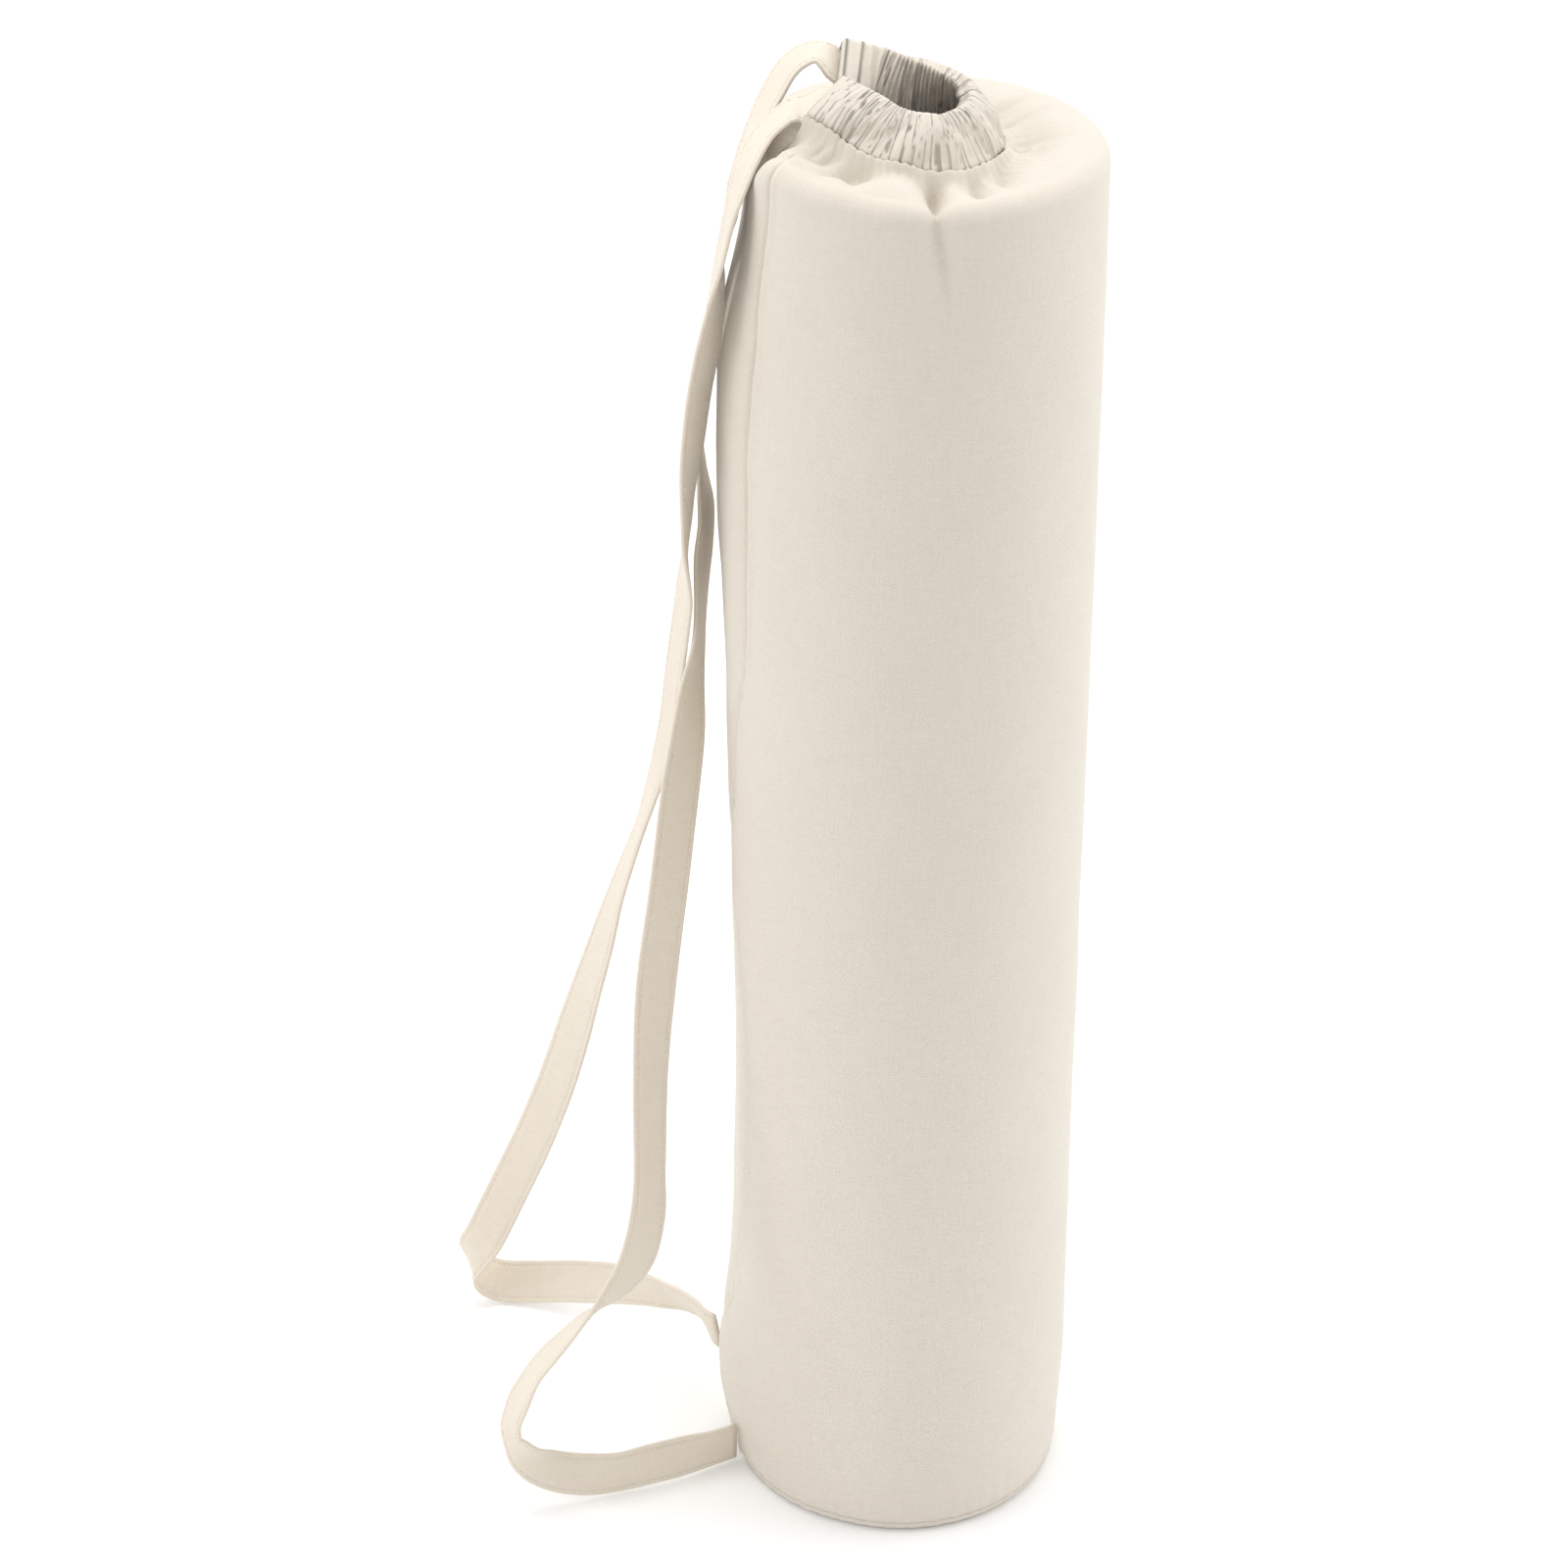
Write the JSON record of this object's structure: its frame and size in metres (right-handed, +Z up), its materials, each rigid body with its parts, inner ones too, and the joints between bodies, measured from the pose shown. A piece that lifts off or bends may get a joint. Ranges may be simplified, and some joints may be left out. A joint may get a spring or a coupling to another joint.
{
  "type": "yoga mat bag",
  "caption": "Tall drawstring cloth bag for a rolled yoga mat: round base, gathered top with a channel, and a long flat shoulder strap sewn to the side seam.",
  "frame": {"origin": "centre of the underside of the round base, on the floor", "axes": "+Z up along the bag, -X towards the side seam and the strap, +Y to the right of someone who looks along +X"},
  "size_m": [0.2719, 0.2577, 0.6871],
  "materials": {
    "canvas": "matt plain weave cotton",
    "strap_canvas": "matt folded cotton, stitched along the edges"
  },
  "bodies": {
    "root": {"body": "canvas", "base_panel": "canvas", "drawstring_channel": "canvas", "strap": "strap_canvas"}
  },
  "joints": []
}
